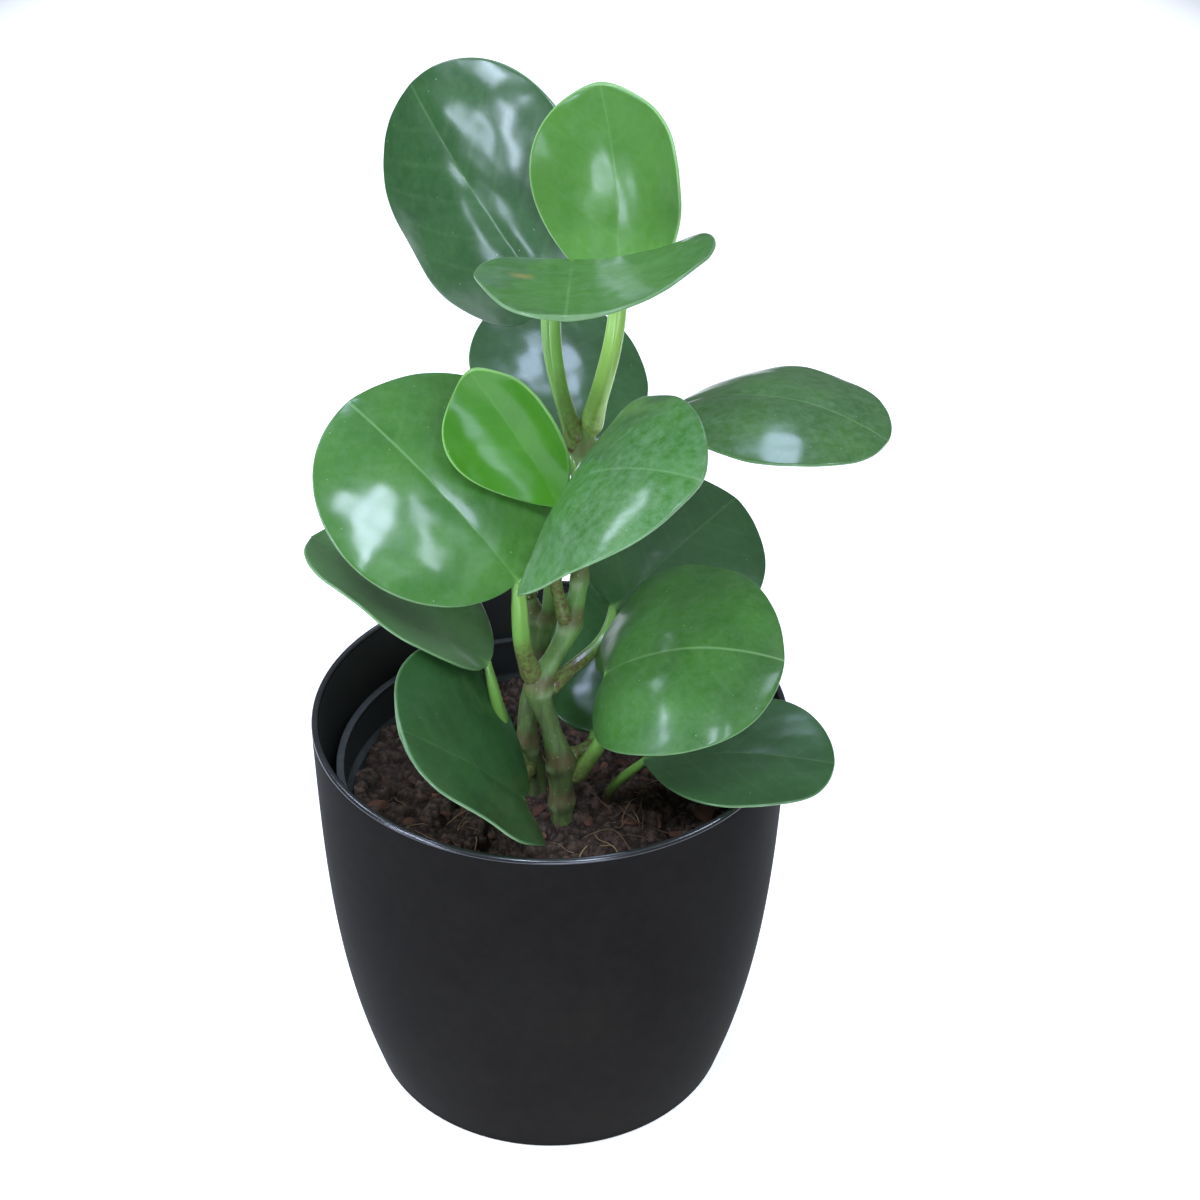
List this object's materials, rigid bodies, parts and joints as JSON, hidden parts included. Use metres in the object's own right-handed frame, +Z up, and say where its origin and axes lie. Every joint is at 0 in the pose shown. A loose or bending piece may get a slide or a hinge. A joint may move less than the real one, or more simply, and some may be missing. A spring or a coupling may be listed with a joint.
{
  "type": "potted peperomia",
  "caption": "Potted peperomia: upright fleshy stems with thick rounded leaves on short stalks, rooted in a nursery pot of soil inside a plain black cachepot.",
  "frame": {"origin": "centre of the cachepot's flat underside", "axes": "+Z straight up along the pots' common axis, +X to the right and -Y towards the side seen from the front"},
  "size_m": [0.1499, 0.1489, 0.2863],
  "materials": {
    "cachepot_plastic": "satin black moulded plastic",
    "nursery_plastic": "dull dark grey thin moulded plastic",
    "soil": "damp dark peat with bark chips and fibres",
    "stem": "fleshy olive green stem with darker nodes",
    "leaf_green": "thick glossy green leaf with a thin pale margin",
    "leaf_light": "glossy light green leaf",
    "leaf_young": "glossy bright green young leaf",
    "leaf_dark": "glossy dark bluish green leaf"
  },
  "bodies": {
    "root": {"cachepot": "cachepot_plastic", "nursery_pot": "nursery_plastic", "potting_soil": "soil", "stem_main": "stem", "stem_back": "stem", "leaf_crown_left": "leaf_green", "leaf_crown_right": "leaf_light", "leaf_crown_front": "leaf_green", "leaf_crown_back": "leaf_dark", "leaf_right_far": "leaf_green", "leaf_left_large": "leaf_green", "leaf_young": "leaf_young", "leaf_centre": "leaf_green", "leaf_right_back": "leaf_dark", "leaf_right_front": "leaf_green", "leaf_low_right": "leaf_dark", "leaf_left_low": "leaf_green", "leaf_left_front": "leaf_green", "leaf_behind_stems": "leaf_dark", "leaf_back_left": "leaf_green"}
  },
  "joints": []
}
